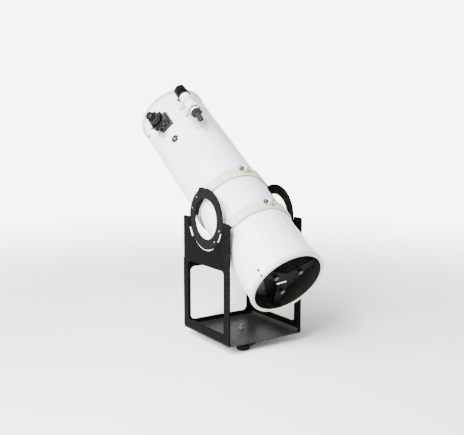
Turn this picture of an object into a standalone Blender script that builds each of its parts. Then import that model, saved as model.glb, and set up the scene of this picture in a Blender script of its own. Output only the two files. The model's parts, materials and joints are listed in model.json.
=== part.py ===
"""Dobsonian telescope: a 300 mm f/4 Newtonian in an all-metal rocker box.

Metres, +Z up. The origin is on the floor, on the azimuth axis. The altitude axis runs
along X. The open front of the rocker and the mirror end of the tube face -Y.
"""
import math

import bmesh
import bpy
from mathutils import Matrix, Vector
from mathutils.geometry import tessellate_polygon

# Driving dimensions
GAP = 0.0003                      # clearance between pieces that touch
ALTITUDE = math.radians(35.2)     # how far the tube points above the horizon
PIVOT = Vector((0, 0, 0.602))     # centre of the altitude axis

TUBE_R = 0.177                    # outer radius of the rolled tube
TUBE_WALL = 0.002
TUBE_SIDES = 64
TUBE_MIRROR, TUBE_SKY = -0.4475, 0.818    # ends of the tube along its axis, from the pivot
END_R, END_LIP, END_LEN = 0.1827, 0.1664, 0.018

BOX_W, BOX_D = 0.411, 0.406       # rocker box
BOX_Z0, BOX_Z1 = 0.045, 0.601
TRAY_T, PANEL_T, BACK_T = 0.006, 0.008, 0.004
BACK_Z1 = 0.395
POST, RAIL = 0.045, 0.048         # frame left around the side windows
SEAT_R = 0.1475                   # round seats that carry the altitude rings

RING_R, RING_HOLE, RING_T = 0.1430, 0.095, 0.0045    # altitude rings
RING_X = 0.2014                   # outer face of an altitude ring
BAND_R, BAND_IN, BAND_W = 0.187, 0.1778, 0.052     # clamp rings, lined with thin felt
BAND_UPPER, BAND_LOWER = 0.110, -0.127
CLAMP_R = 0.205                   # clamp screws' distance from the tube's axis

FOCUS_CLOCK, FOCUS_S = 153, 0.641
FINDER_CLOCK, FINDER_R = 110, 0.262
SPIDER_CLOCK, SPIDER_S = 20, 0.730
CELL_CLOCK, CELL_S = 38, -0.418
KNOB_RING = 0.073                 # circle that the collimation screws stand on
MIRROR_R, MIRROR_T, MIRROR_FACE = 0.152, 0.040, -0.330

GROUND_CLOCK = 238.5              # direction of the front foot
FOOT_CIRCLE, FOOT_R, FOOT_H, GROUND_T = 0.165, 0.030, 0.022, 0.018

# Frames
AXIS = Vector((0, math.cos(ALTITUDE), math.sin(ALTITUDE)))
UP = Vector((0, -math.sin(ALTITUDE), math.cos(ALTITUDE)))


def frame(origin, x_axis, y_axis, z_axis):
    """World matrix with the given origin and axes."""
    rows = Matrix((x_axis, y_axis, z_axis)).transposed().to_4x4()
    rows.translation = origin
    return rows


def radial(clock):
    """Direction away from the tube's axis: 0 is +X, 90 is the top of the tube."""
    angle = math.radians(clock)
    return Vector((math.cos(angle), 0, 0)) + UP * math.sin(angle)


def on_tube(s, clock=0.0, r=0.0):
    """World point at s along the tube, r from its axis."""
    return PIVOT + AXIS * s + radial(clock) * r


def along(s, clock=90, r=0.0):
    """Frame whose Z runs up the tube and whose X points away from its axis at clock."""
    out = radial(clock)
    return frame(on_tube(s, clock, r), out, AXIS.cross(out), AXIS)


def outward(s, clock, r=0.0):
    """Frame whose Z points away from the tube's axis and whose Y runs up the tube."""
    out = radial(clock)
    return frame(on_tube(s, clock, r), AXIS.cross(out), AXIS, out)


def across(x):
    """Frame whose Z is world X, for outlines drawn in world Y and Z."""
    return frame(Vector((x, 0, 0)), Vector((0, 1, 0)), Vector((0, 0, 1)), Vector((1, 0, 0)))


def upright(x=0.0, y=0.0, z=0.0, turn=0.0):
    """Frame whose Z is world Z."""
    return Matrix.Translation((x, y, z)) @ Matrix.Rotation(math.radians(turn), 4, 'Z')


# Materials
PAINTS = {
    "white": ((0.86, 0.87, 0.88), 0.22, 0.0),
    "cream": ((0.80, 0.79, 0.72), 0.35, 0.0),
    "black": ((0.020, 0.021, 0.022), 0.42, 0.0),
    "anodised": ((0.018, 0.018, 0.020), 0.35, 0.6),
    "flat_black": ((0.012, 0.012, 0.012), 0.85, 0.0),
    "rubber": ((0.020, 0.020, 0.020), 0.80, 0.0),
    "glide": ((0.88, 0.88, 0.86), 0.50, 0.0),
    "steel": ((0.62, 0.61, 0.60), 0.25, 1.0),
    "grey": ((0.16, 0.16, 0.17), 0.45, 0.6),
    "glass": ((0.75, 0.80, 0.85), 0.05, 0.0),
    "mirror": ((0.92, 0.93, 0.94), 0.03, 1.0),
}


def paint(obj, kind):
    colour, rough, metal = PAINTS[kind]
    mat = bpy.data.materials.new(obj.name + "_" + kind)
    mat.use_nodes = True
    shader = mat.node_tree.nodes["Principled BSDF"]
    shader.inputs["Base Color"].default_value = (*colour, 1)
    shader.inputs["Roughness"].default_value = rough
    shader.inputs["Metallic"].default_value = metal
    obj.data.materials.append(mat)


# Mesh tools
def place(name, bm, matrix, kind, origin=None):
    """Make an object from a mesh drawn in matrix, with its origin at a world point."""
    origin = Vector(origin) if origin is not None else matrix.translation.copy()
    bmesh.ops.transform(bm, matrix=Matrix.Translation(-origin) @ matrix, verts=bm.verts)
    bmesh.ops.recalc_face_normals(bm, faces=bm.faces)
    mesh = bpy.data.meshes.new(name)
    bm.to_mesh(mesh)
    bm.free()
    obj = bpy.data.objects.new(name, mesh)
    obj.location = origin
    bpy.context.collection.objects.link(obj)
    mesh.shade_smooth()
    mesh.set_sharp_from_angle(angle=math.radians(32))
    paint(obj, kind)
    return obj


def arc(r, start, end, count, cx=0.0, cy=0.0):
    """Points of an arc, in degrees, both ends included."""
    turns = [math.radians(start + (end - start) * i / count) for i in range(count + 1)]
    return [(cx + r * math.cos(t), cy + r * math.sin(t)) for t in turns]


def circle(r, count, cx=0.0, cy=0.0, turn=0.0):
    return arc(r, turn, turn + 360, count, cx, cy)[:-1]


def rounded(x0, y0, x1, y1, r, count=4):
    """Rectangle with round corners, anticlockwise."""
    return (arc(r, 180, 270, count, x0 + r, y0 + r) + arc(r, 270, 360, count, x1 - r, y0 + r)
            + arc(r, 0, 90, count, x1 - r, y1 - r) + arc(r, 90, 180, count, x0 + r, y1 - r))


def inset(loop, distance):
    """Anticlockwise loop moved inwards by a distance, with mitred corners."""
    moved = []
    for i, point in enumerate(loop):
        here = Vector(point)
        before = (here - Vector(loop[i - 1])).normalized()
        after = (Vector(loop[(i + 1) % len(loop)]) - here).normalized()
        normal = Vector((-before.y - after.y, before.x + after.x))
        normal /= max(1.0 + before.dot(after), 0.2)
        moved.append(tuple(here + normal * distance))
    return moved


def slab(outline, z0, z1, holes=(), edge=0.0):
    """Flat piece with through holes. edge is the width of the chamfer along its rims."""
    bm = bmesh.new()
    levels = [(z0, edge), (z0 + edge, 0), (z1 - edge, 0), (z1, edge)] if edge else [
        (z0, 0), (z1, 0)]
    rims = []
    for loop, side in [(outline, 1)] + [(hole, -1) for hole in holes]:
        stack = [[bm.verts.new((*p, z)) for p in (inset(loop, side * e) if e else loop)]
                 for z, e in levels]
        for low, high in zip(stack, stack[1:]):
            for i in range(len(low)):
                j = (i + 1) % len(low)
                bm.faces.new((low[i], low[j], high[j], high[i]))
        rims.append(stack)
    for level in (0, -1):
        loops = [stack[level] for stack in rims]
        flat = [vert for loop in loops for vert in loop]
        for a, b, c in tessellate_polygon([[v.co for v in loop] for loop in loops]):
            bm.faces.new((flat[a], flat[b], flat[c]))
    return bm


def turned(profile, count=48):
    """Body turned about Z from a profile of (radius, height) points.

    A profile that starts and ends on the axis gives a solid, any other a ring.
    """
    bm = bmesh.new()
    solid = profile[0][0] == 0 and profile[-1][0] == 0
    middle = profile[1:-1] if solid else profile
    rings = []
    for i in range(count):
        t = 2 * math.pi * i / count
        rings.append([bm.verts.new((r * math.cos(t), r * math.sin(t), z)) for r, z in middle])
    ends = [bm.verts.new((0, 0, profile[k][1])) for k in (0, -1)] if solid else []
    for here, there in zip(rings, rings[1:] + rings[:1]):
        for k in range(len(middle) - (1 if solid else 0)):
            m = (k + 1) % len(middle)
            bm.faces.new((here[k], there[k], there[m], here[m]))
        if solid:
            bm.faces.new((ends[0], there[0], here[0]))
            bm.faces.new((here[-1], there[-1], ends[1]))
    return bm


def cut_end(bm, point, normal):
    """Cut off what lies on the normal's side of a plane and close the cut."""
    cut = bmesh.ops.bisect_plane(bm, geom=bm.verts[:] + bm.edges[:] + bm.faces[:], dist=1e-7,
                                 plane_co=point, plane_no=normal, clear_outer=True)
    rim = [item for item in cut["geom_cut"] if isinstance(item, bmesh.types.BMEdge)]
    bmesh.ops.triangle_fill(bm, edges=rim, use_beauty=True)


def shape(obj, tools, operation):
    """Join tools to an object, or cut them out of it, and remove them."""
    for tool in tools:
        change = obj.modifiers.new(tool.name, 'BOOLEAN')
        change.operation, change.object = operation, tool
    shaped = bpy.data.meshes.new_from_object(obj.evaluated_get(
        bpy.context.evaluated_depsgraph_get()))
    obj.modifiers.clear()
    obj.data = shaped
    while len(shaped.materials) > 1:
        shaped.materials.pop()
    shaped.set_sharp_from_angle(angle=math.radians(32))
    for tool in tools:
        bpy.data.objects.remove(tool)
    return obj


def knob_profile(r, height, shaft_r, shaft_len, edge=0.0012):
    """Thumbscrew: a knob above z = 0 and a shaft down to -shaft_len."""
    return [(0, -shaft_len), (shaft_r, -shaft_len), (shaft_r, 0), (r - edge, 0), (r, edge),
            (r, height - edge), (r - edge, height), (0, height)]


# Ground unit
def build_ground():
    reach, half = 0.198, 0.0310
    corners = []
    for k in range(3):
        t = math.radians(GROUND_CLOCK + 120 * k)
        for side in (-half, half):
            corners.append((reach * math.cos(t) - side * math.sin(t),
                            reach * math.sin(t) + side * math.cos(t)))
    board_z = FOOT_H + GAP
    place("ground_board", slab(corners, board_z, board_z + GROUND_T,
                               [circle(0.0065, 20)], 0.0015), upright(), "black")
    for k, name in enumerate(("front", "right", "rear")):
        t = math.radians(GROUND_CLOCK + 120 * k)
        x, y = FOOT_CIRCLE * math.cos(t), FOOT_CIRCLE * math.sin(t)
        place("ground_foot_" + name,
              turned([(0, 0), (FOOT_R - 0.004, 0), (FOOT_R, 0.004), (FOOT_R, FOOT_H), (0, FOOT_H)],
                     20), upright(x, y), "rubber")
        place("azimuth_pad_" + name,
              turned([(0, 0), (0.018, 0), (0.018, 0.0041), (0, 0.0041)], 14),
              upright(0.8 * x, 0.8 * y, board_z + GROUND_T + GAP), "glide")
    # Bolt head under the board, shaft, then washer and nut on the tray
    tray = BOX_Z0 + TRAY_T + GAP
    place("azimuth_bolt", turned([(0, 0.013), (0.010, 0.013), (0.010, FOOT_H), (0.006, FOOT_H),
                                  (0.006, tray), (0.0155, tray), (0.0155, tray + 0.0025),
                                  (0.0098, tray + 0.0025), (0.0098, tray + 0.0115),
                                  (0.006, tray + 0.0125), (0.006, tray + 0.019),
                                  (0.0045, tray + 0.0205), (0, tray + 0.0205)], 16),
          upright(), "steel")


# Rocker
def panel_outline(front, back):
    """Side panel with its semicircular seat, in world Y and Z."""
    base = BOX_Z0 + TRAY_T + GAP
    lift = BOX_Z1 - PIVOT.z
    swing = math.degrees(math.asin(lift / SEAT_R))
    seat = arc(SEAT_R, swing, -180 - swing, 28, PIVOT.y, PIVOT.z)
    return ([(front, base), (back, base)] + arc(0.008, 0, 90, 3, back - 0.008, BOX_Z1 - 0.008)
            + seat + arc(0.008, 90, 180, 3, front + 0.008, BOX_Z1 - 0.008))


def build_rocker():
    half, deep = BOX_W / 2, BOX_D / 2
    place("rocker_tray", slab(rounded(-half, -deep, half, deep, 0.003, 1), BOX_Z0,
                              BOX_Z0 + TRAY_T, [circle(0.0065, 20)], 0.0008),
          upright(), "black")
    window = rounded(-deep + POST, BOX_Z0 + RAIL, deep - POST, 0.3835, 0.018)
    for side, name in ((-1, "left"), (1, "right")):
        x0, x1 = sorted((side * half, side * (half - PANEL_T)))
        place("rocker_side_" + name,
              slab(panel_outline(-deep, deep - BACK_T - GAP), x0, x1, [window], 0.0010),
              across(0), "black")
        for clock, end in ((-30, "rear"), (-150, "front")):
            pad = (arc(SEAT_R - GAP, clock - 9, clock + 9, 6, PIVOT.y, PIVOT.z)
                   + arc(RING_R + GAP, clock + 9, clock - 9, 6, PIVOT.y, PIVOT.z))
            place("altitude_pad_%s_%s" % (name, end), slab(pad, x0, x1), across(0), "glide")
    back = rounded(-half, BOX_Z0 + TRAY_T + GAP, half, BACK_Z1, 0.006, 2)
    hole = rounded(-half + 0.038, 0.0745, half - 0.038, 0.3405, 0.022)
    # Drawn in X and Z, so its frame has Z along -Y
    place("rocker_back", slab(back, -deep, -deep + BACK_T, [hole], 0.0008),
          frame(Vector((0, 0, 0)), Vector((1, 0, 0)), Vector((0, 0, 1)), Vector((0, -1, 0))),
          "black")


# Cradle
def wedge(name, side, near, far):
    """Block between an altitude ring and a tube ring, its ends cut along 30 degree rays."""
    ray = math.radians(30)
    top = max(abs(near), abs(far)) * math.tan(ray)
    lean = math.degrees(math.asin(top / (BAND_R + GAP)))
    flat = RING_X - RING_T - GAP
    loop = [(flat, -top), (flat, top)] + arc(BAND_R + GAP, lean, -lean, 12)
    if side < 0:
        loop = [(-x, y) for x, y in reversed(loop)]
    bm = slab(loop, -far, -near)
    # Drawn in world X and the tube's up direction, so Z runs down the tube
    bmesh.ops.transform(bm, matrix=frame(PIVOT, Vector((1, 0, 0)), UP, -AXIS), verts=bm.verts)
    lengthwise = AXIS if near > 0 else -AXIS
    for end in (-1, 1):
        cut_end(bm, PIVOT, UP * end * math.cos(ray) - lengthwise * math.sin(ray))
    place(name, bm, Matrix.Identity(4), "black", PIVOT)


def tube_ring(name, centre):
    """Clamp ring, split at the top between two lugs that its screw passes through."""
    split, lug_t, lug_r, lug_half = 0.0016, 0.007, 0.215, 0.013
    lean, lean_in = (math.degrees(math.asin(split / r)) for r in (BAND_R, BAND_IN))
    band = arc(BAND_R, 90 + lean, 450 - lean, 64) + arc(BAND_IN, 450 - lean_in, 90 + lean_in, 64)
    spin = frame(on_tube(centre), Vector((1, 0, 0)), UP, -AXIS)
    ring = place(name, slab(band, -BAND_W / 2, BAND_W / 2), spin, "cream")
    lugs = []
    for side in (-1, 1):
        lug = [(split, BAND_R - 0.006), (split + lug_t, BAND_R - 0.006),
               (split + lug_t, lug_r - 0.002), (split + lug_t - 0.002, lug_r), (split, lug_r)]
        if side < 0:
            lug = [(-x, y) for x, y in reversed(lug)]
        lugs.append(place("lug", slab(lug, -lug_half, lug_half), spin, "cream"))
    shape(ring, lugs, 'UNION')
    bore = turned([(0, -0.03), (0.0045, -0.03), (0.0045, 0.03), (0, 0.03)], 14)
    shape(ring, [place("bore", bore, across(0) @ Matrix.Translation(
        (*(on_tube(centre) + UP * CLAMP_R).yz, 0)), "cream")], 'DIFFERENCE')


def build_cradle():
    for side, name in ((-1, "left"), (1, "right")):
        x0, x1 = sorted((side * RING_X, side * (RING_X - RING_T)))
        ring = circle(RING_R, 56, PIVOT.y, PIVOT.z)
        hole = circle(RING_HOLE, 40, PIVOT.y, PIVOT.z)
        place("altitude_ring_" + name, slab(ring, x0, x1, [hole]), across(0), "black",
              PIVOT)
        wedge("ring_block_%s_sky" % name, side, BAND_UPPER - 0.026, BAND_UPPER + 0.0255)
        wedge("ring_block_%s_mirror" % name, side, BAND_LOWER - 0.0255, BAND_LOWER + 0.026)
    for centre, end in ((BAND_UPPER, "sky"), (BAND_LOWER, "mirror")):
        tube_ring("tube_ring_" + end, centre)
        lever = frame(on_tube(centre) + UP * CLAMP_R, Vector((0, 1, 0)), Vector((0, 0, 1)),
                      Vector((1, 0, 0)))
        # Knob on the left, shaft through both lugs, acorn nut on the right
        screw = [(0, -0.0285), (0.0085, -0.0285), (0.0105, -0.0265), (0.0105, -0.0185),
                 (0.0085, -0.0165), (0.0055, -0.0150), (0.0055, -0.0092), (0.0038, -0.0092),
                 (0.0038, 0.0092), (0.0065, 0.0092), (0.0065, 0.0150), (0.0038, 0.0165),
                 (0.0038, 0.0230), (0, 0.0240)]
        place("clamp_screw_" + end, turned(screw, 14), lever, "steel")


# Tube
def end_ring_profile():
    """Channel over the edge of the tube: s = 0 at its outer face, growing inwards."""
    skin, seat = TUBE_R + GAP, TUBE_R - TUBE_WALL - GAP
    return [(skin, END_LEN), (END_R, END_LEN), (END_R, 0.0042), (END_R - 0.0015, 0.0012),
            (END_R - 0.0045, 0), (END_LIP + 0.0030, 0), (END_LIP, 0.0030), (END_LIP, 0.010),
            (seat, 0.010), (seat, 0.0035), (skin, 0.0035)]


def build_tube():
    edge = 0.0035 + GAP
    inner = TUBE_R - TUBE_WALL
    s0, s1 = TUBE_MIRROR + edge, TUBE_SKY - edge
    wall = turned([(TUBE_R, s0), (TUBE_R, s1), (inner, s1), (inner, s0)], TUBE_SIDES)
    tube = place("tube_shell", wall, along(0), "white", PIVOT)
    port = place("port", turned([(0, 0.15), (0.030, 0.15), (0.030, 0.20), (0, 0.20)], 28),
                 outward(FOCUS_S, FOCUS_CLOCK), "white")
    shape(tube, [port], 'DIFFERENCE')
    profile = end_ring_profile()
    for name, edge_s, inwards in (("sky", TUBE_SKY, -1), ("mirror", TUBE_MIRROR, 1)):
        place("end_ring_" + name,
              turned([(r, edge_s + inwards * s) for r, s in profile], TUBE_SIDES), along(0),
              "cream", on_tube(edge_s))
    badge = [(0, TUBE_R + GAP), (0.0185, TUBE_R + GAP), (0.020, TUBE_R + 0.0015),
             (0.0188, TUBE_R + 0.0038), (0.0120, TUBE_R + 0.0038), (0.0115, TUBE_R + 0.0030),
             (0, TUBE_R + 0.0030)]
    place("tube_badge", turned(badge, 24), outward(0.5086, 151.6), "anodised",
          on_tube(0.5086, 151.6, TUBE_R))


# Focuser, drawn with Z away from the tube's axis, Y up the tube
def build_focuser():
    here = outward(FOCUS_S, FOCUS_CLOCK)
    top, shaft_x, shaft_z, shaft_r = 0.1875, -0.0325, 0.2030, 0.0042
    seat = TUBE_R + GAP
    lean = math.degrees(math.asin(0.044 / seat))
    saddle = [(a, b) for b, a in reversed(arc(seat, -lean, lean, 10))] + [(-0.044, top),
                                                                          (0.044, top)]
    # Outline in X and Z, pushed along Y
    lengthwise = here @ Matrix(((1, 0, 0, 0), (0, 0, -1, 0), (0, 1, 0, 0), (0, 0, 0, 1)))
    saddle.reverse()
    base = place("focuser_base", slab(saddle, -0.050, 0.046), lengthwise, "anodised")
    shape(base, [place("port", turned([(0, 0.16), (0.0295, 0.16), (0.0295, 0.20), (0, 0.20)], 28),
                       here, "black")], 'DIFFERENCE')

    deck, crown = top + GAP, 0.2300
    body = place("focuser_body", slab(rounded(-0.0440, -0.036, 0.0370, 0.036, 0.010, 3), deck,
                                      crown, [circle(0.0292, 28)], 0.0015), here, "anodised")
    slot = place("slot", slab(rounded(shaft_x - 0.0048, shaft_z - 0.0048, shaft_x + 0.0080,
                                      shaft_z + 0.0048, 0.0040, 3), -0.05, 0.05),
                 lengthwise, "black")
    lock_seat = here @ Matrix.Translation((0, 0, 0.2185)) @ Matrix.Rotation(
        math.radians(-90), 4, 'Y')
    lock_bore = place("bore", turned([(0, 0.02), (0.0026, 0.02), (0.0026, 0.05), (0, 0.05)], 12),
                      lock_seat, "black")
    shape(body, [slot, lock_bore], 'DIFFERENCE')

    outer, bore = 0.0280, 0.0256
    draw = place("drawtube", turned([(bore, 0.168), (outer, 0.168), (outer, 0.2405), (0.0320, 0.2420),
                              (0.0320, 0.2560), (0.0310, 0.2570), (bore, 0.2570)], 28),
          here, "anodised", here @ Vector((0, 0, 0.168)))
    collar = place("eyepiece_adapter", turned(
        [(0.0162, 0.2320), (bore - GAP, 0.2320), (bore - GAP, 0.2575), (0.0295, 0.2575),
         (0.0300, 0.2580), (0.0300, 0.2640), (0.0290, 0.2650), (0.0162, 0.2650)], 24),
        here, "anodised", here @ Vector((0, 0, 0.232)))
    screw_seat = here @ Matrix.Translation((0, 0, 0.2500)) @ Matrix.Rotation(
        math.radians(-33), 4, 'Z') @ Matrix.Rotation(math.radians(-90), 4, 'X')
    for ring in (draw, collar):
        shape(ring, [place("bore", turned([(0, 0.010), (0.0021, 0.010), (0.0021, 0.04),
                                           (0, 0.04)], 10), screw_seat, "black")], 'DIFFERENCE')
    place("eyepiece", turned([(0, 0.2345), (0.0135, 0.2345), (0.0156, 0.2355), (0.0156, 0.2655),
                              (0.0205, 0.2665), (0.0212, 0.2680), (0.0212, 0.2850),
                              (0.0200, 0.2920), (0.0165, 0.2920), (0.0115, 0.2870),
                              (0, 0.2865)], 24), here, "rubber", here @ Vector((0, 0, 0.2345)))
    place("eyepiece_lock_screw", turned(knob_profile(0.0045, 0.009, 0.0018, 0.0195, 0.0006), 12),
          screw_seat @ Matrix.Translation((0, 0, 0.0360)), "steel")
    place("drawtube_lock_screw", turned(knob_profile(0.0050, 0.0090, 0.0022, 0.0205, 0.0008), 12),
          lock_seat @ Matrix.Translation((0, 0, 0.0488)), "anodised")

    # Shaft with its two coarse knobs, and the fine knob at its sky end
    spindle = here @ Matrix.Translation((shaft_x, 0, shaft_z)) @ Matrix.Rotation(
        math.radians(-90), 4, 'X')
    place("focus_shaft", turned([(0, -0.0730), (0.0135, -0.0730), (0.0150, -0.0715),
                                 (0.0150, -0.0580), (0.0135, -0.0565), (0.0070, -0.0565),
                                 (0.0070, -0.0370), (shaft_r, -0.0370), (shaft_r, 0.0370),
                                 (0.0070, 0.0370), (0.0070, 0.0500), (0.0135, 0.0500),
                                 (0.0150, 0.0515), (0.0150, 0.0640), (0.0135, 0.0655),
                                 (0, 0.0655)], 18), spindle, "steel")
    place("fine_focus_knob", turned([(0, 0.0660), (0.0080, 0.0660), (0.0090, 0.0670),
                                     (0.0090, 0.0760), (0.0080, 0.0770), (0, 0.0770)], 14),
          spindle, "anodised", spindle @ Vector((0, 0, 0.066)))


# Finder: 50 mm, in a two-ring bracket
def build_finder():
    line = along(0, FINDER_CLOCK, FINDER_R)      # Z up the tube, X away from it
    drop = FINDER_R - TUBE_R - GAP
    ring_r, hole_r, half = 0.0385, 0.0325, 0.010
    lean = math.degrees(math.asin(half / ring_r))
    stalk = arc(ring_r, 180 + lean, 540 - lean, 24) + [(-drop + 0.010, half),
                                                       (-drop + 0.010, -half)]
    stations = (0.528, 0.592)
    bracket = place("finder_bracket", slab(stalk, stations[0] - 0.006, stations[0] + 0.006,
                                           [circle(hole_r, 24)]), line, "cream")
    front = place("front", slab(stalk, stations[1] - 0.006, stations[1] + 0.006,
                                [circle(hole_r, 24)]), line, "cream")
    # Shoe: sits on the tube, between the feet of the two rings
    seat = TUBE_R + GAP
    bend = math.degrees(math.asin(0.017 / seat))
    foot = [(x - FINDER_R, y) for x, y in arc(seat, bend, -bend, 6)]
    foot = [(-drop + 0.012, -0.015), (-drop + 0.012, 0.015)] + foot
    shoe = place("shoe", slab(foot, 0.478, 0.612), line, "cream")
    shape(bracket, [front, shoe], 'UNION')
    bores, screws = [], []
    for s, end in zip(stations, ("rear", "front")):
        for clock, hand in ((125, "left"), (-125, "right")):
            out = Matrix.Rotation(math.radians(clock), 4, 'Z') @ Matrix.Rotation(
                math.radians(90), 4, 'Y')
            seat_frame = line @ Matrix.Translation((0, 0, s)) @ out
            bores.append(place("bore", turned([(0, 0.032), (0.0022, 0.032), (0.0022, 0.045),
                                               (0, 0.045)], 10), seat_frame, "cream"))
            screws.append(("finder_screw_%s_%s" % (end, hand), seat_frame))
    shape(bracket, bores, 'DIFFERENCE')
    for name, seat_frame in screws:
        place(name, turned(knob_profile(0.0060, 0.0075, 0.0019, 0.0172, 0.0008), 10),
              seat_frame @ Matrix.Translation((0, 0, 0.0460)), "steel")

    tube_r, tube_in = 0.0285, 0.0265
    place("finder_tube", turned([(tube_r, 0.5050), (tube_r, 0.6470), (tube_in, 0.6470),
                                 (tube_in, 0.5050)], 28), line, "white",
          line @ Vector((0, 0, 0.505)))
    place("finder_dew_cap", turned([(tube_r + GAP, 0.6400), (0.0335, 0.6400), (0.0345, 0.6410),
                                    (0.0345, 0.6450), (0.0315, 0.6480), (0.0305, 0.7060),
                                    (0.0295, 0.7070), (0.0285, 0.7060), (0.0290, 0.6475),
                                    (tube_r + GAP, 0.6472)], 28), line, "black",
          line @ Vector((0, 0, 0.64)))
    place("finder_objective", turned([(0, 0.6385), (0.0180, 0.6392), (tube_in - GAP, 0.6410),
                                      (tube_in - GAP, 0.6440), (0.0180, 0.6462),
                                      (0, 0.6470)], 20), line, "glass",
          line @ Vector((0, 0, 0.6385)))
    place("finder_eyepiece_holder", turned(
        [(0.0138, 0.4905), (0.0240, 0.4905), (0.0262, 0.4930), (0.0262, 0.5040),
         (0.0255, 0.5047), (tube_in - GAP, 0.5047), (tube_in - GAP, 0.5160), (0.0138, 0.5160)],
        24), line, "anodised", line @ Vector((0, 0, 0.4905)))
    place("finder_eyepiece", turned(
        [(0, 0.4520), (0.0085, 0.4500), (0.0105, 0.4450), (0.0125, 0.4450), (0.0134, 0.4470),
         (0.0134, 0.5100), (0, 0.5100)], 16), line, "anodised", line @ Vector((0, 0, 0.445)))


# Secondary mirror: its flat is centred on the focuser's line
def build_secondary():
    mirror_r, thick = 0.035, 0.010
    hub = place("spider", turned([(0, -0.024), (0.016, -0.024), (0.016, 0.024), (0.004, 0.024),
                                  (0.004, 0.031), (0, 0.031)], 16), along(SPIDER_S), "flat_black")
    reach = TUBE_R - TUBE_WALL - GAP
    vanes = []
    for k in range(4):
        vane = slab([(0.012, -0.0008), (reach - 0.0002, -0.0008), (reach - 0.0002, 0.0008),
                     (0.012, 0.0008)], -0.014, 0.014)
        vanes.append(place("vane", vane, along(SPIDER_S, SPIDER_CLOCK + 90 * k), "flat_black"))
    shape(hub, vanes, 'UNION')
    # The reflecting plane faces halfway between the primary and the focuser
    side = radial(FOCUS_CLOCK)
    facing = (side - AXIS).normalized()
    centre = on_tube(FOCUS_S)
    for name, front, back, kind in (("secondary_mirror", 0.0, thick, "mirror"),
                                    ("secondary_holder", thick + GAP, None, "flat_black")):
        top = 0.055 if back is None else 0.070
        bm = turned([(0, -0.070), (mirror_r, -0.070), (mirror_r, top), (0, top)], 28)
        bmesh.ops.transform(bm, matrix=along(FOCUS_S), verts=bm.verts)
        cut_end(bm, centre - facing * front, facing)
        if back is not None:
            cut_end(bm, centre - facing * back, -facing)
        place(name, bm, Matrix.Identity(4), kind, centre)


# Primary mirror cell
def build_cell():
    # Frames here have local X on world X so that clock angles read as outline angles
    back = frame(on_tube(0), Vector((1, 0, 0)), UP, -AXIS)
    arms = []
    for k in range(3):
        t = math.radians(CELL_CLOCK + 120 * k)
        spoke, cross = Vector((math.cos(t), math.sin(t))), Vector((-math.sin(t), math.cos(t)))
        arms += [tuple(spoke * 0.1735 - cross * 0.016), tuple(spoke * 0.1735 + cross * 0.016)]
        t += math.radians(60)
        arms.append((0.034 * math.cos(t), 0.034 * math.sin(t)))
    knobs = [(KNOB_RING * math.cos(math.radians(CELL_CLOCK + 120 * k)),
              KNOB_RING * math.sin(math.radians(CELL_CLOCK + 120 * k))) for k in range(3)]
    plate = place("cell_frame", slab(arms, -CELL_S - 0.006, -CELL_S,
                                     [circle(0.0045, 14, *p) for p in knobs]), back, "grey")
    tabs = []
    for k in range(3):
        tab = slab(rounded(-0.016, 0.394, 0.016, 0.4368, 0.006, 2), 0.1700, 0.1738)
        clock = CELL_CLOCK + 120 * k
        face = frame(on_tube(0), AXIS.cross(radial(clock)) * -1, -AXIS, radial(clock))
        tabs.append(place("tab", tab, face, "grey"))
    shape(plate, tabs, 'UNION')

    carrier_s = MIRROR_FACE - MIRROR_T - 0.003
    rim = []
    for k in range(3):
        t = CELL_CLOCK + 120 * k
        rim += arc(0.161, t - 8, t + 8, 3) + arc(0.085, t + 52, t + 68, 2)
    carrier = place("mirror_carrier", slab(rim, -carrier_s, -carrier_s + 0.008), back, "grey")
    clips = []
    for k in range(3):
        clock = CELL_CLOCK + 120 * k
        stem = [(0.1545, -carrier_s + 0.004), (0.1600, -carrier_s + 0.004),
                (0.1600, -MIRROR_FACE - 0.0045), (0.1470, -MIRROR_FACE - 0.0045),
                (0.1470, -MIRROR_FACE - 0.0012), (0.1545, -MIRROR_FACE - 0.0012)]
        out = radial(clock)
        # Outline in distance from the axis and distance behind the pivot
        face = frame(on_tube(0), out, -AXIS, out.cross(-AXIS))
        clips.append(place("clip", slab(stem, -0.009, 0.009), face, "grey"))
    shape(carrier, clips, 'UNION')

    sag = MIRROR_R ** 2 / (4 * 1.22)
    dish = [(MIRROR_R * k / 4, MIRROR_FACE - sag * (1 - (k / 4) ** 2)) for k in range(5)]
    place("primary_mirror", turned(dish + [(MIRROR_R, MIRROR_FACE - MIRROR_T),
                                           (0, MIRROR_FACE - MIRROR_T)], 40),
          along(0), "mirror", on_tube(MIRROR_FACE))
    for k, name in enumerate(("right", "left", "lower")):
        clock = CELL_CLOCK + 120 * k
        stand = frame(on_tube(CELL_S, clock, KNOB_RING), radial(clock),
                      radial(clock).cross(-AXIS) * -1, -AXIS)
        place("collimation_screw_" + name,
              turned(knob_profile(0.0115, 0.0130, 0.0036, 0.0340, 0.0015), 14),
              stand @ Matrix.Translation((0, 0, 0.0040)), "steel")


def main():
    for obj in list(bpy.data.objects):
        bpy.data.objects.remove(obj)
    build_ground()
    build_rocker()
    build_cradle()
    build_tube()
    build_focuser()
    build_finder()
    build_secondary()
    build_cell()


main()
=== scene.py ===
"""Looks of the dobsonian telescope: materials, small hardware, stage, light and camera."""
import json
import math

import bmesh
import bpy
from mathutils import Matrix, Vector


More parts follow.
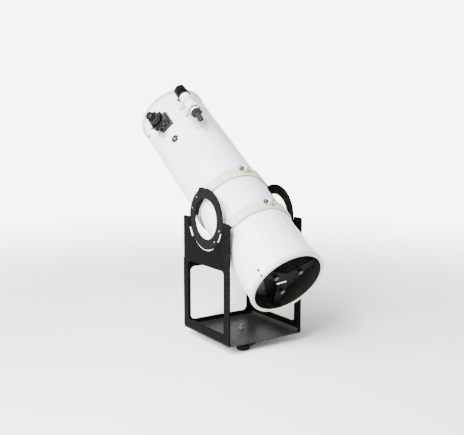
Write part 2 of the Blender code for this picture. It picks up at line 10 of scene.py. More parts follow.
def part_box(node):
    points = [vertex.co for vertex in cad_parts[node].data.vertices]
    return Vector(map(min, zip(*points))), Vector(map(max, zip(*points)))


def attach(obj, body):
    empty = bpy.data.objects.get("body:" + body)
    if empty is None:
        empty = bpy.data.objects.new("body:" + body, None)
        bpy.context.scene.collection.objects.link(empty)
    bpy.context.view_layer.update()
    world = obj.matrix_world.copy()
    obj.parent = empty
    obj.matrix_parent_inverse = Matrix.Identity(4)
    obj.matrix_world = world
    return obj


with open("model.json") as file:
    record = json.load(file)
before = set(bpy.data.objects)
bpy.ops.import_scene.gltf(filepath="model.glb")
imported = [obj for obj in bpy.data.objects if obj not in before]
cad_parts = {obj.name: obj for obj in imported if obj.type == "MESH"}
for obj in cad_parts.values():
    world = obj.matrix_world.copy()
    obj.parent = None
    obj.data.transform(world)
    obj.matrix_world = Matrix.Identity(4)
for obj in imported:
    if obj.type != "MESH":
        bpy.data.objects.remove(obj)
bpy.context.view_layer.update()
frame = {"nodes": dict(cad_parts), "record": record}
NODES = frame["nodes"]
JOINTS = {joint["name"]: joint for joint in frame["record"]["behaviour"]["joints"]}

# The tube's frame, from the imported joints
PIVOT = Vector(JOINTS["altitude"]["pos_m"])
AXIS = Vector(JOINTS["tube_rotation"]["axis"]).normalized()
SIDE = Vector((1, 0, 0))
UP = SIDE.cross(AXIS)
OUT = Vector(JOINTS["drawtube_slide"]["axis"]).normalized()      # focuser's direction
LATERAL = AXIS.cross(OUT)
FOCUS = Vector(JOINTS["focus_turn"]["pos_m"])
FOCUS_S = (FOCUS - PIVOT).dot(AXIS)
TUBE_R = 0.177
CELL_FACE = -0.418                # outer face of the cell frame
FINDER_CLOCK, FINDER_R = 110, 0.262

SHARP_ANGLE = 32                  # degrees between faces that keep a crisp edge
KNURL_TWIST = 900.0               # lean of crossed knurling, radians per metre along the axis
LATHE_LINES = 9000.0              # turning marks, radians per metre out from the axis


def radial(clock):
    angle = math.radians(clock)
    return SIDE * math.cos(angle) + UP * math.sin(angle)


def on_tube(s, clock=0.0, r=0.0):
    return PIVOT + AXIS * s + radial(clock) * r


def basis(origin, z, x=None):
    """Frame at origin whose Z is z; X is as near to x as it can be."""
    z = z.normalized()
    x = x if x is not None else (AXIS if abs(z.dot(AXIS)) < 0.9 else SIDE)
    y = z.cross(x).normalized()
    rows = Matrix((y.cross(z), y, z)).transposed().to_4x4()
    rows.translation = origin
    return rows


# Shader helpers
def add_node(tree, kind, links=(), **settings):
    """Makes a shader node; links pairs its sockets with values or with other nodes' outputs."""
    node = tree.nodes.new("ShaderNode" + kind)
    for key, value in settings.items():
        setattr(node, key, value)
    for socket, source in links:
        if hasattr(source, "is_output"):
            tree.links.new(source, node.inputs[socket])
        else:
            node.inputs[socket].default_value = source
    return node


class Shader:
    """A Principled material that is built up node by node in the object's own coordinates."""

    def __init__(self, name):
        self.mat = bpy.data.materials.new(name)
        self.mat.use_nodes = True
        self.tree = self.mat.node_tree
        self.bsdf = self.tree.nodes["Principled BSDF"]
        self.coords = self.tree.nodes.new("ShaderNodeTexCoord").outputs["Object"]
        self.height = None

    def node(self, kind, links=(), **settings):
        return add_node(self.tree, kind, links, **settings)

    def math(self, operation, a, b=0.0, c=0.0):
        return self.node("Math", [(0, a), (1, b), (2, c)], operation=operation).outputs[0]

    def noise(self, scale, detail=3.0, rough=0.55, stretch=None):
        source = self.coords
        if stretch:
            source = self.node("Mapping", [("Vector", source), ("Scale", stretch)]).outputs[0]
        return self.node("TexNoise", [("Vector", source), ("Scale", scale), ("Detail", detail),
                                      ("Roughness", rough)]).outputs["Fac"]

    def spread(self, value, low, high, start=0.3, end=0.7):
        """Maps start..end of a value to low..high."""
        return self.node("MapRange", [("Value", value), ("From Min", start), ("From Max", end),
                                      ("To Min", low), ("To Max", high)]).outputs[0]

    def mix(self, factor, a, b):
        node = self.node("Mix", [(0, factor)], data_type="RGBA")
        for socket, source in ((6, a), (7, b)):
            if hasattr(source, "is_output"):
                self.tree.links.new(source, node.inputs[socket])
            else:
                node.inputs[socket].default_value = (*source, 1)
        return node.outputs[2]

    def local(self, origin, x, y, z):
        """The object's coordinates turned into a frame of one of its pieces."""
        away = self.node("VectorMath", [(0, self.coords), (1, tuple(-origin))],
                         operation="ADD").outputs[0]
        return [self.dot(away, axis) for axis in (x, y, z)]

    def dot(self, value, axis):
        return self.node("VectorMath", [(0, value), (1, tuple(axis))],
                         operation="DOT_PRODUCT").outputs["Value"]

    def bump(self, value, distance, strength=1.0):
        node = self.node("Bump", [("Height", value), ("Distance", distance), ("Strength", strength)])
        if self.height is not None:
            self.tree.links.new(self.height, node.inputs["Normal"])
        self.height = node.outputs["Normal"]

    def done(self, colour=None, rough=None, **fixed):
        for name, source in (("Base Color", colour), ("Roughness", rough), ("Normal", self.height)):
            if source is None:
                continue
            if hasattr(source, "is_output"):
                self.tree.links.new(source, self.bsdf.inputs[name])
            else:
                self.bsdf.inputs[name].default_value = (*source, 1) if name == "Base Color" else source
        for name, value in fixed.items():
            self.bsdf.inputs[name.replace("_", " ")].default_value = value
        return self.mat


def tint(colour, k):
    return tuple(min(1.0, c * k) for c in colour)


def enamel(name, colour, rough, peel=0.00006, coat=0.0, grain=420, dust=0.05, shine=0.5):
    """Sprayed enamel or powder coat: orange peel, faint clouding, dust, and edges lightened partly by
    wear and partly as a painted highlight.
    """
    sh = Shader(name)
    cloud = sh.spread(sh.noise(5.5, 2.0), 0.0, 1.0)
    base = sh.mix(cloud, tint(colour, 0.965), tint(colour, 1.02))
    dirt = sh.spread(sh.noise(38, 5.0, 0.7), 0.0, dust, 0.52, 0.78)
    base = sh.mix(dirt, base, (0.30, 0.29, 0.27))
    # Convex edges are lightened: partly edge wear, partly a painted highlight along folds and edges
    edge = sh.spread(sh.node("NewGeometry").outputs["Pointiness"], 0.0, 0.35, 0.53, 0.60)
    worn_and_highlit_edge = sh.math("MULTIPLY", edge, sh.spread(sh.noise(95, 4.0), 0.0, 1.0, 0.45, 0.62))
    wear_and_highlight_tone = tuple(min(1.0, c * 1.6 + 0.012) for c in colour)
    base = sh.mix(worn_and_highlit_edge, base, wear_and_highlight_tone)
    marks = sh.spread(sh.noise(60, 5.0, 0.65, stretch=(1.0, 0.35, 1.0)), -0.05, 0.09)
    roughness = sh.math("ADD", marks, rough)
    sh.bump(sh.noise(grain, 2.0, 0.5), peel)
    sh.bump(sh.noise(26, 3.0, 0.6), peel * 1.5, 0.5)
    return sh.done(base, roughness, Coat_Weight=coat, Coat_Roughness=0.12, Metallic=0.0,
                   Specular_IOR_Level=shine)


def alloy(name, colour, rough, metal=1.0, grain=700, depth=0.00003, shine=0.5):
    """Bare, plated or anodised metal: fine grain, clouding, handling marks, and edges brightened partly
    by wear and partly as a painted highlight.
    """
    sh = Shader(name)
    streak = sh.noise(grain, 3.0, 0.6)
    cloud = sh.noise(30, 4.0, 0.6)
    base = sh.mix(sh.spread(cloud, 0.0, 1.0), tint(colour, 0.90), tint(colour, 1.06))
    base = sh.mix(sh.spread(streak, 0.0, 0.22), base, tint(colour, 0.7))
    # Convex edges are brightened: partly edge wear, partly a painted highlight
    edge = sh.spread(sh.node("NewGeometry").outputs["Pointiness"], 0.0, 0.4, 0.53, 0.62)
    base = sh.mix(edge, base, tuple(min(1.0, c * 1.25 + 0.06) for c in colour))
    sh.bump(streak, depth)
    return sh.done(base, sh.math("ADD", sh.spread(streak, -0.06, 0.10), rough), Metallic=metal,
                   Specular_IOR_Level=shine)


def knurled(name, colour, rough, metal, origin, axis, count, depth=0.0004, crossed=False):
    """Turned metal with straight or crossed knurling round its axis."""
    sh = Shader(name)
    turn = basis(origin, axis)
    x, y, z = sh.local(origin, turn.col[0].to_3d(), turn.col[1].to_3d(), turn.col[2].to_3d())
    angle = sh.math("MULTIPLY", sh.math("ARCTAN2", y, x), count / 2)
    if crossed:
        twist = sh.math("MULTIPLY", z, KNURL_TWIST)
        one, two = (sh.math("ABSOLUTE", sh.math("SINE", sh.math(way, angle, twist)))
                    for way in ("ADD", "SUBTRACT"))
        ridge = sh.math("MULTIPLY", one, two)
    else:
        ridge = sh.math("ABSOLUTE", sh.math("SINE", angle))
    # Only surfaces that face away from the axis carry it
    normal = sh.node("TexCoord").outputs["Normal"]
    rim = sh.spread(sh.math("ABSOLUTE", sh.dot(normal, axis.normalized())), 1.0, 0.0, 0.2, 0.5)
    ridge = sh.math("MULTIPLY", ridge, rim)
    reach = sh.math("SQRT", sh.math("ADD", sh.math("MULTIPLY", x, x), sh.math("MULTIPLY", y, y)))
    lathe = sh.math("SINE", sh.math("MULTIPLY", reach, LATHE_LINES))
    base = sh.mix(sh.spread(sh.noise(45, 4.0), 0.0, 1.0), tint(colour, 0.9), tint(colour, 1.08))
    # Painted shade: the valleys between the knurl's ridges are darkened
    groove_shade = sh.math("MULTIPLY", sh.math("SUBTRACT", rim, ridge), 0.45)
    base = sh.mix(groove_shade, base, tint(colour, 0.35))
    sh.bump(ridge, depth)
    sh.bump(lathe, 0.000012, 0.6)
    return sh.done(base, sh.math("ADD", sh.spread(sh.noise(300, 3.0), -0.05, 0.08), rough),
                   Metallic=metal)


def moulded(name, colour, rough, grain=650, depth=0.00012, dust=0.12, shine=0.5):
    """Rubber or plastic with a moulded grain, dulled by patches of dust."""
    sh = Shader(name)
    grit = sh.noise(grain, 4.0, 0.65)
    base = sh.mix(sh.spread(sh.noise(22, 3.0), 0.0, 1.0), tint(colour, 0.85), tint(colour, 1.15))
    base = sh.mix(sh.spread(sh.noise(70, 5.0, 0.7), 0.0, dust, 0.5, 0.8), base, (0.35, 0.34, 0.32))
    sh.bump(grit, depth)
    sh.bump(sh.noise(40, 2.0), depth, 0.4)
    return sh.done(base, sh.math("ADD", sh.spread(grit, -0.06, 0.06), rough), Metallic=0.0,
                   Specular_IOR_Level=shine)


def glass(name, colour):
    """Coated lens: tinted reflections, a trace of dust."""
    sh = Shader(name)
    dust = sh.spread(sh.noise(160, 5.0, 0.7), 0.02, 0.12, 0.55, 0.8)
    sh.bump(sh.noise(900, 2.0), 0.000004)
    base = sh.mix(sh.spread(sh.noise(18, 2.0), 0, 1), tint(colour, 0.9), colour)
    return sh.done(base, dust, Metallic=0.0, Coat_Weight=0.25, Coat_Roughness=0.03,
                   Coat_Tint=(0.80, 0.90, 0.86, 1))


def silvered(name):
    """First-surface mirror with a little dust on the coating."""
    sh = Shader(name)
    dust = sh.spread(sh.noise(120, 6.0, 0.75), 0.0, 0.10, 0.55, 0.85)
    base = sh.mix(dust, (0.93, 0.94, 0.95), (0.70, 0.69, 0.67))
    return sh.done(base, sh.spread(dust, 0.02, 0.16, 0.0, 0.10), Metallic=1.0)


WHITE = enamel("gloss_white_enamel", (0.68, 0.71, 0.76), 0.22, 0.00003, coat=0.55, grain=520,
               dust=0.02)
CREAM = enamel("satin_cream_enamel", (0.46, 0.47, 0.37), 0.42, 0.00007, grain=480, dust=0.05)
BRACKET = enamel("bracket_enamel", (0.56, 0.58, 0.55), 0.40, 0.00008, grain=420, dust=0.06)
BLACK = enamel("satin_black_powder", (0.0011, 0.0015, 0.0010), 0.44, 0.00010, grain=1100,
               dust=0.003, shine=0.018)
TRAY = enamel("grey_black_powder", (0.0115, 0.0125, 0.0112), 0.38, 0.00010, grain=1100, dust=0.010,
              shine=0.10)
RING = enamel("satin_black_casting", (0.0011, 0.0015, 0.0010), 0.40, 0.00010, grain=800, dust=0.003,
              shine=0.035)
FLAT = enamel("flat_black_lining", (0.0090, 0.0112, 0.0090), 0.80, 0.00016, grain=900, dust=0.006,
              shine=0.08)
ANODISED = alloy("black_anodised", (0.0026, 0.0032, 0.0028), 0.30, 0.0, grain=1200, shine=0.026)
STEEL = alloy("plated_steel", (0.66, 0.65, 0.63), 0.22, 1.0, grain=900, depth=0.00001)
ANGLE = enamel("painted_angle", (0.020, 0.021, 0.020), 0.40, 0.00010, grain=900, dust=0.02, shine=0.2)
CAST = enamel("black_cast_metal", (0.0022, 0.0026, 0.0023), 0.52, 0.00022, grain=330, dust=0.012,
              shine=0.04)
BLACKENED = alloy("blackened_screw", (0.006, 0.006, 0.006), 0.40, 0.2, grain=900, depth=0.00001,
                  shine=0.08)
RUBBER = moulded("moulded_rubber", (0.0060, 0.0060, 0.0062), 0.66, dust=0.010, shine=0.05)
GLIDE = moulded("glide_plastic", (0.82, 0.82, 0.79), 0.48, grain=300, depth=0.00004, dust=0.05)
LENS = glass("coated_lens", (0.010, 0.013, 0.015))
MIRROR = silvered("mirror_coating")
STRAP = alloy("plated_strap", (0.92, 0.92, 0.90), 0.30, 0.35, grain=900, depth=0.00001)
SILVER = alloy("turned_silver", (0.52, 0.52, 0.51), 0.30, 1.0, grain=900, depth=0.00001)
ALTITUDE_SCREW = alloy("dulled_zinc", (0.22, 0.22, 0.21), 0.34, 1.0, grain=900, depth=0.00001)
BLANK = moulded("ground_glass", (0.006, 0.008, 0.0075), 0.42, grain=1500, depth=0.00002, dust=0.04)
# Dark felt lip along the clamp rings, partly felt and partly a painted shadow line
FELT_AND_SHADOW = moulded("black_felt_and_shadow", (0.010, 0.010, 0.009), 0.9, grain=900, depth=0.0003, dust=0.05,
               shine=0.05)


def wear(node, material):
    obj = NODES[node]
    obj.data.materials.clear()
    obj.data.materials.append(material)
    obj.data.shade_smooth()
    obj.data.set_sharp_from_angle(angle=math.radians(SHARP_ANGLE))


def second(node, material, chosen):
    """Gives the faces that chosen(centre, normal) picks another material."""
    obj = NODES[node]
    obj.data.materials.append(material)
    last = len(obj.data.materials) - 1
    for face in obj.data.polygons:
        if chosen(face.center, face.normal):
            face.material_index = last


def off_axis(point, line=PIVOT):
    """Distance from the line along the tube that runs through line."""
    away = point - line
    return (away - AXIS * away.dot(AXIS)).length


for node in NODES:
    if node.startswith(("ground_foot", "eyepiece")):
        wear(node, RUBBER)
    elif node.startswith(("azimuth_pad", "altitude_pad")):
        wear(node, GLIDE)
    elif node.startswith(("rocker_side", "rocker_back", "ground_board")):
        wear(node, BLACK)
    elif node.startswith(("altitude_ring", "ring_block")):
        wear(node, RING)
    elif node.startswith(("tube_ring", "end_ring")):
        wear(node, CREAM)
    elif node.startswith("finder_bracket"):
        wear(node, BRACKET)
    elif node.startswith(("tube_shell", "finder_tube")):
        wear(node, WHITE)
    elif node.startswith(("spider", "secondary_holder")):
        wear(node, FLAT)
    elif node.startswith(("cell_frame", "mirror_carrier")):
        wear(node, CAST)
    elif node in ("primary_mirror", "secondary_mirror"):
        wear(node, BLANK)
    else:
        wear(node, ANODISED)
wear("rocker_tray", TRAY)
wear("azimuth_bolt", ALTITUDE_SCREW)
wear("eyepiece_adapter", ANODISED)
wear("finder_objective", LENS)
wear("tube_badge", BLACK)

# Insides are flat black: faces nearer than this to the axis of the tube or the finder
finder_line = on_tube(0, FINDER_CLOCK, FINDER_R)
for node, line, bore in (("tube_shell", PIVOT, TUBE_R - 0.0008), ("end_ring_sky", PIVOT, 0.1665),
                         ("end_ring_mirror", PIVOT, 0.1665), ("finder_tube", finder_line, 0.0275),
                         ("finder_dew_cap", finder_line, 0.0293)):
    second(node, FLAT, lambda c, n: off_axis(c, line) < bore)
second("primary_mirror", MIRROR, lambda c, n: n.dot(AXIS) > 0.9)
second("secondary_mirror", MIRROR, lambda c, n: n.dot((OUT - AXIS).normalized()) > 0.95)

# Turned controls: joints, ridges round the knob, their depth, colour, roughness, metal
FINDER_SCREWS = [f"finder_screw_{end}_{side}_turn" for end in ("rear", "front")
                 for side in ("left", "right")]
for names, count, depth, colour, rough, metal in (
        (("clamp_sky_turn", "clamp_mirror_turn"), 18, 0.0009, (0.085, 0.075, 0.060), 0.24, 1.0),
        (("eyepiece_lock_turn",), 24, 0.0003, (0.70, 0.69, 0.67), 0.22, 1.0),
        (("drawtube_lock_turn",), 24, 0.0003, (0.012, 0.012, 0.012), 0.35, 0.6),
        (("focus_turn",), 64, 0.0006, (0.40, 0.375, 0.32), 0.28, 1.0),
        (("fine_focus_turn",), 60, 0.0003, (0.012, 0.012, 0.012), 0.35, 0.6),
        (FINDER_SCREWS, 22, 0.0003, (0.16, 0.16, 0.15), 0.30, 1.0),
        (("collimation_right_turn", "collimation_left_turn", "collimation_lower_turn"),
         12, 0.0010, (0.060, 0.052, 0.050), 0.30, 1.0)):
    for joint in (JOINTS[name] for name in names):
        for node in frame["record"]["behaviour"]["bodies"][joint["child"]]:
            wear(node, knurled("turned_" + node, colour, rough, metal, Vector(joint["pos_m"]),
                               Vector(joint["axis"]), count, depth, crossed=node == "focus_shaft"))


# Mesh helpers
def skin(bm, rings, hoop=False):
    """Faces between neighbouring rings. A ring of one vertex is a point on the axis, and a hoop's
    last ring joins its first."""
    count = max(len(ring) for ring in rings)
    pairs = list(zip(rings, rings[1:]))
    if hoop:
        pairs.append((rings[-1], rings[0]))
    for low, high in pairs:
        for i in range(count):
            j = (i + 1) % count
            corners = [low[i % len(low)], low[j % len(low)], high[j % len(high)], high[i % len(high)]]
            loop = list(dict.fromkeys(corners))
            if len(loop) > 2:
                bm.faces.new(loop)


def ring_of(bm, matrix, profile, count, hoop=False):
    """Adds a turned body to bm: profile is (radius, height) points, from axis to axis or a hoop."""
    rings = []
    for r, z in profile:
        if r < 1e-7:
            rings.append([bm.verts.new(matrix @ Vector((0, 0, z)))])
        else:
            rings.append([bm.verts.new(matrix @ Vector((r * math.cos(2 * math.pi * i / count),
                                                        r * math.sin(2 * math.pi * i / count), z)))
                          for i in range(count)])
    skin(bm, rings, hoop)


def piece(name, bm, body, material, angle=SHARP_ANGLE):
    """Turns bm into a piece of its own that rides on a body."""
    bmesh.ops.recalc_face_normals(bm, faces=bm.faces)
    mesh = bpy.data.meshes.new(name)
    bm.to_mesh(mesh)
    bm.free()
    obj = bpy.data.objects.new(name, mesh)
    bpy.context.collection.objects.link(obj)
    mesh.materials.append(material)
    mesh.shade_smooth()
    mesh.set_sharp_from_angle(angle=math.radians(angle))
    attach(obj, body)


def cap_screw(bm, matrix, r, height, count=20):
    """Button head with a hexagon socket, its underside at z = 0."""
    socket = r * 0.48
    profile = [(0, height * 0.45), (socket, height * 0.45), (socket, height), (r * 0.72, height),
               (r * 0.90, height * 0.80), (r, height * 0.45), (r, 0), (0, 0)]
    # The socket's two rings become hexagons
    rings = []
    for k, (rad, z) in enumerate(profile):
        if rad == 0:
            rings.append([bm.verts.new(matrix @ Vector((0, 0, z)))])
            continue
        ring = []
        for i in range(count):
            t = 2 * math.pi * i / count
            here = rad
            if k in (1, 2):
                here = rad * math.cos(math.pi / 6) / math.cos((t % (math.pi / 3)) - math.pi / 6)
            ring.append(bm.verts.new(matrix @ Vector((here * math.cos(t), here * math.sin(t), z))))
        rings.append(ring)
    skin(bm, rings)


def hex_nut(bm, matrix, r, height):
    """Chamfered hexagon on a thin washer."""
    ring_of(bm, matrix, [(0, 0), (r * 1.35, 0), (r * 1.35, height * 0.22), (0, height * 0.22)], 24)
    base = height * 0.24
    six = [(r * math.cos(math.radians(60 * i)), r * math.sin(math.radians(60 * i))) for i in range(6)]
    small = [(x * 0.88, y * 0.88) for x, y in six]
    levels = [(six, base), (six, height * 0.86), (small, height)]
    rings = [[bm.verts.new(matrix @ Vector((x, y, z))) for x, y in loop] for loop, z in levels]
    skin(bm, rings)
    bm.faces.new(rings[0])
    bm.faces.new(rings[-1])


def bar(bm, matrix, x, y, z, edge=0.0006):
    """Box of half sizes x and y from z[0] to z[1], with chamfered edges."""
    made = bmesh.ops.create_cube(bm, size=1.0)
    verts = made["verts"]
    for v in verts:
        v.co = Vector((v.co.x * 2 * x, v.co.y * 2 * y, z[0] + (v.co.z + 0.5) * (z[1] - z[0])))
    edges = list({e for v in verts for e in v.link_edges})
    cut = bmesh.ops.bevel(bm, geom=edges, offset=edge, segments=2, affect='EDGES', profile=0.5)
    moved = {v for f in cut["faces"] for v in f.verts} | {v for v in verts if v.is_valid}
    bmesh.ops.transform(bm, matrix=matrix, verts=list(moved))


def round_section(r, height, thick, count):
    """Profile of a ring of round section, for ring_of with hoop."""
    turns = [2 * math.pi * k / count for k in range(count)]
    return [(r + thick * math.cos(turn), height + thick * math.sin(turn)) for turn in turns]


# Screw heads: radius, height, sides
ALTITUDE_HEAD = (0.0046, 0.0026, 20)
ROCKER_HEAD = (0.0048, 0.0030, 20)
STRIP_HEAD = (0.0034, 0.0022, 12)
RING_HEAD = (0.0032, 0.0018, 12)
END_HEAD = (0.0030, 0.0016, 12)
CELL_BOLT = (0.0062, 0.0034, 16)
CELL_HEAD = (0.0052, 0.0022, 16)
FACE_HEAD = (0.0026, 0.0016, 12)
HOUSING_HEAD = (0.0028, 0.0016, 12)
BASE_HEAD = (0.0028, 0.0018, 12)
SEAT = 0.0001                     # gap under a screw head
BACK, TOP = Vector((0, 1, 0)), Vector((0, 0, 1))

# Screws of the altitude rings: two pairs on each ring, either side of the tube's line
ALTITUDE_SCREWS_R, LEAN = 0.124, 15.5
ring_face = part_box("altitude_ring_right")[1].x
bm = bmesh.new()
for side in (-1, 1):
    for clock in (-LEAN, LEAN, 180 - LEAN, 180 + LEAN):
        angle = math.radians(clock)
        at = PIVOT + (AXIS * math.cos(angle) + UP * math.sin(angle)) * ALTITUDE_SCREWS_R
        at.x = side * (ring_face + SEAT)
        cap_screw(bm, basis(at, SIDE * side), *ALTITUDE_HEAD)
piece("altitude_ring_screws", bm, "cradle", ALTITUDE_SCREW)

# Screws of the rocker box: behind the back panel and under the tray
ROCKER_SCREWS_X, TRAY_SCREWS_UP = 0.199, 0.009
back_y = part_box("rocker_back")[1].y
tray_lo, tray_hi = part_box("rocker_tray")
bm = bmesh.new()
for side in (-1, 1):
    for z in (0.056, 0.155, 0.254, 0.3535):
        cap_screw(bm, basis(Vector((side * ROCKER_SCREWS_X, back_y + SEAT, z)), BACK), *ROCKER_HEAD)
    for y in (-0.133, 0.010, 0.152):
        cap_screw(bm, basis(Vector((side * ROCKER_SCREWS_X, y, tray_lo.z - SEAT)), -TOP), *ROCKER_HEAD)
for x in (-0.12, 0.0, 0.12):
    cap_screw(bm, basis(Vector((x, back_y + SEAT, tray_hi.z + TRAY_SCREWS_UP)), BACK), *ROCKER_HEAD)
piece("rocker_screws", bm, "rocker", STEEL)

# Angle strips that join the side panels to the tray. Half sizes: flange, wall, length
FLANGE, WALL, STRIP, STRIP_EDGE = 0.0075, 0.0008, 0.188, 0.0004
flange_z, wall_z = tray_hi.z + 0.0003, tray_hi.z + 0.0020
panel_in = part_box("rocker_side_right")[0].x
bm = bmesh.new()
for side in (-1, 1):
    x = side * (panel_in - 0.0003)
    bar(bm, Matrix.Translation((x - side * FLANGE, 0, flange_z)), FLANGE, STRIP, (0, 0.0016), STRIP_EDGE)
    bar(bm, Matrix.Translation((x - side * WALL, 0, wall_z)), WALL, STRIP, (0, 0.0130), STRIP_EDGE)
    for y in (-0.150, -0.05, 0.05, 0.150):
        cap_screw(bm, basis(Vector((x - side * 0.0100, y, wall_z)), TOP), *STRIP_HEAD)
piece("rocker_angle_strips", bm, "rocker", ANGLE)

# Small screws of the tube rings, beside the clamp
TUBE_RING_R = 0.187
bm = bmesh.new()
for s in (0.096, 0.124, -0.113, -0.141):
    for clock in (52, 128, 232, 308):
        cap_screw(bm, basis(on_tube(s, clock, TUBE_RING_R - 0.0002), radial(clock)), *RING_HEAD)
piece("tube_ring_screws", bm, "cradle", STEEL)

# Screws of the end rings, spider nuts and mirror cell bolts
END_RING_R, END_SKY_S, END_MIRROR_S = 0.1826, 0.8085, -0.4385
SPIDER_S, CELL_S = 0.730, -0.4035
bm = bmesh.new()
for s, clocks in ((END_SKY_S, (32.5, 92.5, 152.5, 212.5, 272.5, 332.5)),
                  (END_MIRROR_S, (92.5, 212.5, 332.5))):
    for clock in clocks:
        cap_screw(bm, basis(on_tube(s, clock, END_RING_R), radial(clock)), *END_HEAD)
piece("tube_bolts", bm, "optical_tube", STEEL)
bm = bmesh.new()
for clock in (20, 110, 200, 290):
    hex_nut(bm, basis(on_tube(SPIDER_S, clock, TUBE_R), radial(clock)), 0.0055, 0.0055)
piece("spider_nuts", bm, "optical_tube", BLACKENED)
bm = bmesh.new()
for clock in (38, 158, 278):
    cap_screw(bm, basis(on_tube(CELL_S, clock, TUBE_R), radial(clock)), *CELL_BOLT)
    cap_screw(bm, basis(on_tube(END_MIRROR_S, clock, END_RING_R), radial(clock)), *CELL_HEAD)
piece("cell_bolts", bm, "optical_tube", BLACKENED)


def focus_point(x, y, z):
    """Point in the focuser's frame: across, up the tube, away from the tube's axis."""
    return PIVOT + AXIS * FOCUS_S + LATERAL * x + AXIS * y + OUT * z


# Focuser: screws of its front face, its shaft housing and its base
FACE_Z, HOUSING_Y, BASE_Z = 0.2302, -0.0362, 0.1877
bm = bmesh.new()
for x in (-0.0345, 0.0285):
    for y in (-0.0275, 0.0275):
        cap_screw(bm, basis(focus_point(x, y, FACE_Z), OUT), *FACE_HEAD)
for x, z in ((-0.018, 0.212), (0.012, 0.212), (0.024, 0.198), (-0.006, 0.196)):
    cap_screw(bm, basis(focus_point(x, HOUSING_Y, z), -AXIS), *HOUSING_HEAD)
for x in (-0.037, 0.037):
    for y in (-0.042, 0.040):
        cap_screw(bm, basis(focus_point(x, y, BASE_Z), OUT), *BASE_HEAD)
piece("focuser_screws", bm, "optical_tube", ALTITUDE_SCREW)

# Silver disc in the middle of the badge, and the thin line round its rim
badge_lo, badge_hi = (Vector(v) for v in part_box("tube_badge"))
badge_away = (badge_lo + badge_hi) / 2 - PIVOT
badge_s = badge_away.dot(AXIS)
badge_turn = basis(PIVOT + AXIS * badge_s, badge_away - AXIS * badge_s)
disc = [(0, 0.1805), (0.0052, 0.1805), (0.0058, 0.1808), (0.0055, 0.1813), (0.0030, 0.1816), (0, 0.1817)]
bm = bmesh.new()
ring_of(bm, badge_turn, disc, 24)
ring_of(bm, badge_turn, round_section(0.0128, 0.1809, 0.0004, 8), 32, hoop=True)
piece("badge_centre", bm, "optical_tube", SILVER)

# Felt that lines the clamp rings: its lip past their edges is a dark strip, partly real felt and partly
# painted shade standing in for the shadow line along the edges
FELT_IN, FELT_OUT, SHADOW_LINE_LIP = TUBE_R + 0.0004, TUBE_R + 0.0020, 0.0008
bm = bmesh.new()
for node in ("tube_ring_sky", "tube_ring_mirror"):
    span = [(vertex.co - PIVOT).dot(AXIS) for vertex in NODES[node].data.vertices]
    for edge, lip in ((-1, min(span)), (1, max(span))):
        loop = [(FELT_IN, lip), (FELT_OUT, lip), (FELT_OUT - 0.0001, lip + edge * (SHADOW_LINE_LIP - 0.0001)),
                (FELT_IN + 0.0001, lip + edge * SHADOW_LINE_LIP)]
        ring_of(bm, basis(PIVOT, AXIS), loop, 96, hoop=True)
piece("ring_felt_and_shadow_line", bm, "cradle", FELT_AND_SHADOW, angle=60)

# Plated strap across the hub of the cell frame
bm = bmesh.new()
strap_from, strap_to, strap_half = (-0.037, -0.024), (0.012, -0.016), 0.0036
ends = [PIVOT + AXIS * CELL_FACE + SIDE * x + UP * y for x, y in (strap_from, strap_to)]
run = ends[1] - ends[0]
bar(bm, basis((ends[0] + ends[1]) / 2, -AXIS, run.normalized()), run.length / 2, strap_half,
    (0.0003, 0.0030), 0.0008)
piece("cell_strap", bm, "optical_tube", STRAP)

# Lenses of the eyepiece and of the finder's eyepiece
bm = bmesh.new()
crown = [(0, 0.2884), (0.0040, 0.2883), (0.0080, 0.2880), (0.0108, 0.2875), (0.0108, 0.2868), (0, 0.2868)]
ring_of(bm, basis(focus_point(0, 0, 0), OUT), crown, 28)
piece("eyepiece_lens", bm, "eyepiece_body", LENS)
bm = bmesh.new()
crown = [(0, 0.4505), (0.0040, 0.4502), (0.0078, 0.4496), (0.0078, 0.4506), (0, 0.4516)]
ring_of(bm, basis(finder_line, AXIS), crown, 24)
piece("finder_eye_lens", bm, "finder_eyepiece_body", LENS)

# Dark ring of round section round the finder at its rear ring
bm = bmesh.new()
ring_of(bm, basis(finder_line, AXIS), round_section(0.0303, 0.5195, 0.0017, 10), 40, hoop=True)
piece("finder_dark_ring", bm, "optical_tube", RUBBER, angle=80)

# Stage: a bright band round the horizon, a dimmer ceiling, and a paper floor that fades into the band
HORIZON, CEILING = 3.1, 0.32      # light from the band and from overhead
BAND_TOP, CEILING_FROM = 0.16, 0.42
FADE_START, FADE_END = 1.2, 5.0   # metres from the object
SEEN = 7.0                        # band's level to the camera alone


def whiter_to_camera(tree, level):
    """The level that lights the scene, raised to SEEN where the camera looks straight at it."""
    camera_ray = add_node(tree, "LightPath").outputs["Is Camera Ray"]
    looked_at = add_node(tree, "Math", [(0, camera_ray), (1, SEEN)], operation='MULTIPLY').outputs[0]
    return add_node(tree, "Math", [(0, looked_at), (1, level)], operation='MAXIMUM').outputs[0]


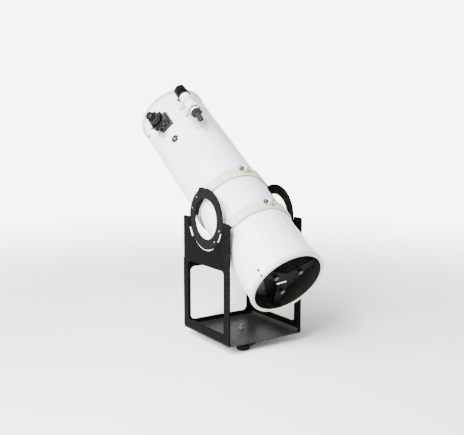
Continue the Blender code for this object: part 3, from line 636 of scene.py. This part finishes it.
bpy.ops.mesh.primitive_plane_add(size=60, location=(0, 0, 0))
floor = bpy.context.object
floor.name = "floor"
paper = Shader("floor_paper")
paper.bump(paper.noise(8, 2.0), 0.0002)
floor.data.materials.append(paper.done((0.98, 0.98, 0.98), 0.9))
distance = paper.node("VectorMath", [(0, paper.coords)], operation='LENGTH').outputs["Value"]
away = paper.node("MapRange", [("Value", distance), ("From Min", FADE_START), ("From Max", FADE_END)],
                  interpolation_type='SMOOTHSTEP').outputs[0]
glow = paper.node("Emission", [("Strength", whiter_to_camera(paper.tree, HORIZON))]).outputs[0]
fade = paper.node("MixShader", [(0, away), (1, paper.bsdf.outputs[0]), (2, glow)]).outputs[0]
paper.tree.links.new(fade, paper.tree.nodes["Material Output"].inputs["Surface"])

world = bpy.data.worlds.new("studio")
world.use_nodes = True
sky = world.node_tree.nodes["Background"]
sky.inputs["Color"].default_value = (1, 1, 1, 1)
direction = add_node(world.node_tree, "TexCoord").outputs["Generated"]
height = add_node(world.node_tree, "SeparateXYZ", [(0, direction)]).outputs["Z"]
band = add_node(world.node_tree, "MapRange",
                [("Value", height), ("From Min", BAND_TOP), ("From Max", CEILING_FROM),
                 ("To Min", HORIZON), ("To Max", CEILING)], interpolation_type='SMOOTHSTEP').outputs[0]
world.node_tree.links.new(whiter_to_camera(world.node_tree, band), sky.inputs["Strength"])
bpy.context.scene.world = world


def lamp(name, kind, location, target, energy, **settings):
    """Soft light at location that faces target."""
    data = bpy.data.lights.new(name, kind)
    data.energy = energy
    for key, value in settings.items():
        setattr(data, key, value)
    obj = bpy.data.objects.new(name, data)
    obj.location = location
    obj.rotation_euler = (Vector(target) - Vector(location)).to_track_quat('-Z', 'Y').to_euler()
    bpy.context.collection.objects.link(obj)


# A broad soft key from the upper left, and a strip for the long highlight on the tube
lamp("key", 'SUN', (-8.0, -1.5, 6.4), (0, 0, 0.6), 8.6, angle=math.radians(60))
lamp("sheen", 'AREA', (-2.4, -1.5, 2.4), (0, 0.2, 0.7), 320, shape='RECTANGLE', size=0.35, size_y=2.0)

# Camera fitted to the photo
camera = bpy.data.cameras.new("camera")
camera.lens, camera.sensor_width = 53.30, 36.0
camera.shift_x, camera.shift_y = 0.0011, -0.0002
camera.clip_end = 200
eye_point = bpy.data.objects.new("camera", camera)
eye_point.location = (-1.82515, -2.6850, 1.0349)
eye_point.rotation_euler = (math.radians(90 - 7.71), 0, math.radians(-33.35))
bpy.context.collection.objects.link(eye_point)
bpy.context.scene.camera = eye_point

bpy.context.view_layer.update()
